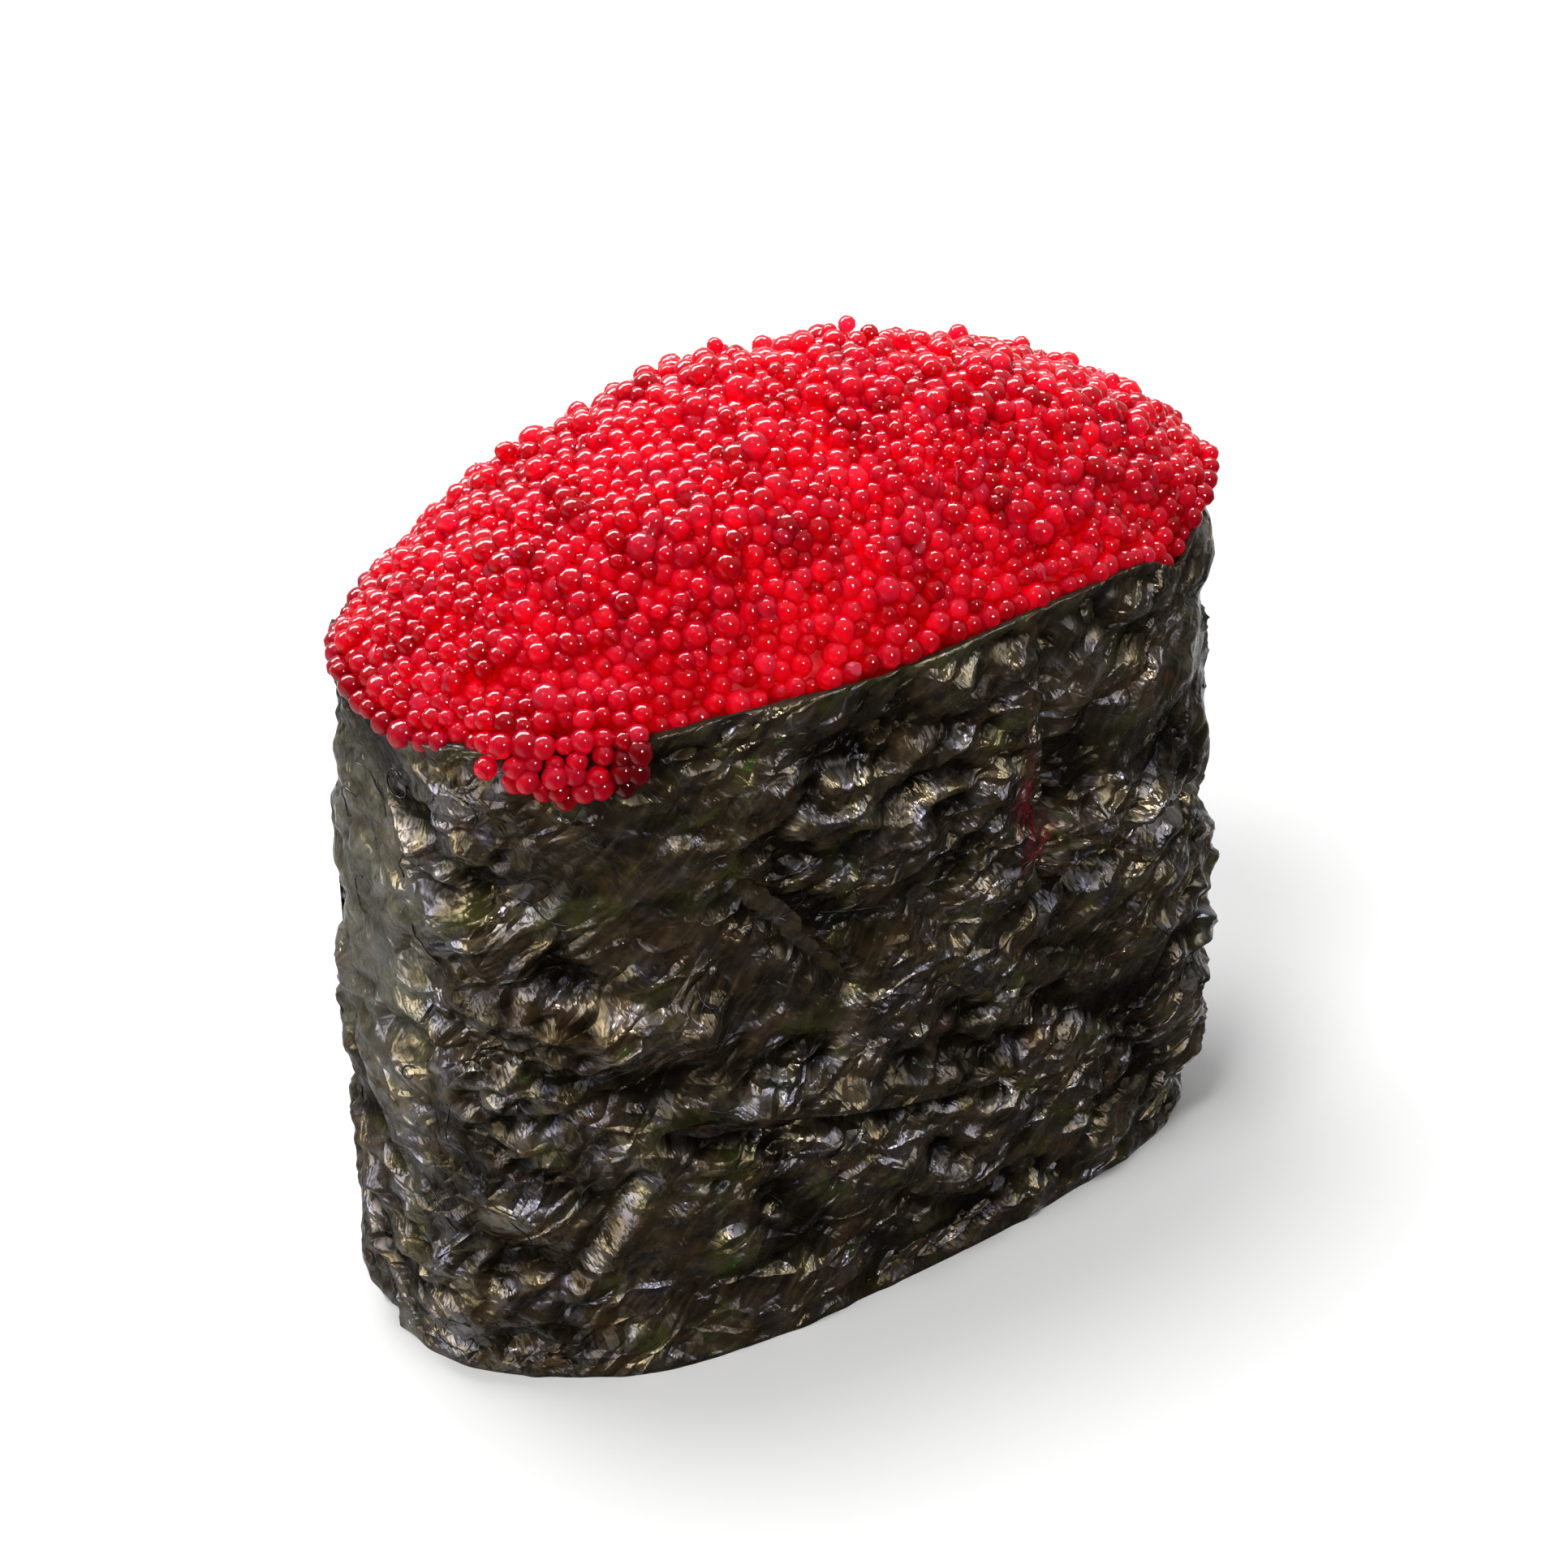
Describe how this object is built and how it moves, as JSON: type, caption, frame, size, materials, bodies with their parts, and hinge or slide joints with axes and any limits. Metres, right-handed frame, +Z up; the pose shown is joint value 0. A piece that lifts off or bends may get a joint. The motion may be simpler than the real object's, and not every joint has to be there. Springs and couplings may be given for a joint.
{
  "type": "gunkan sushi",
  "caption": "Gunkan sushi: an oval block of rice wrapped in a crumpled strip of nori, heaped with a dome of small red fish roe that spills over the rim at one place.",
  "frame": {"origin": "the middle of the flat underside, on the surface that the sushi stands on", "axes": "+Z up through the roe, +X along the band away from its lapped end, +Y across the band towards its back, so the side with the spill of roe faces -Y"},
  "size_m": [0.051, 0.0267, 0.0509],
  "materials": {
    "nori": "moist, glossy and crumpled",
    "rice": "moist and slightly glossy",
    "roe": "wet, glossy and translucent"
  },
  "bodies": {
    "root": {"nori_band": "nori", "rice_block": "rice", "roe_heap": "roe"}
  },
  "joints": []
}
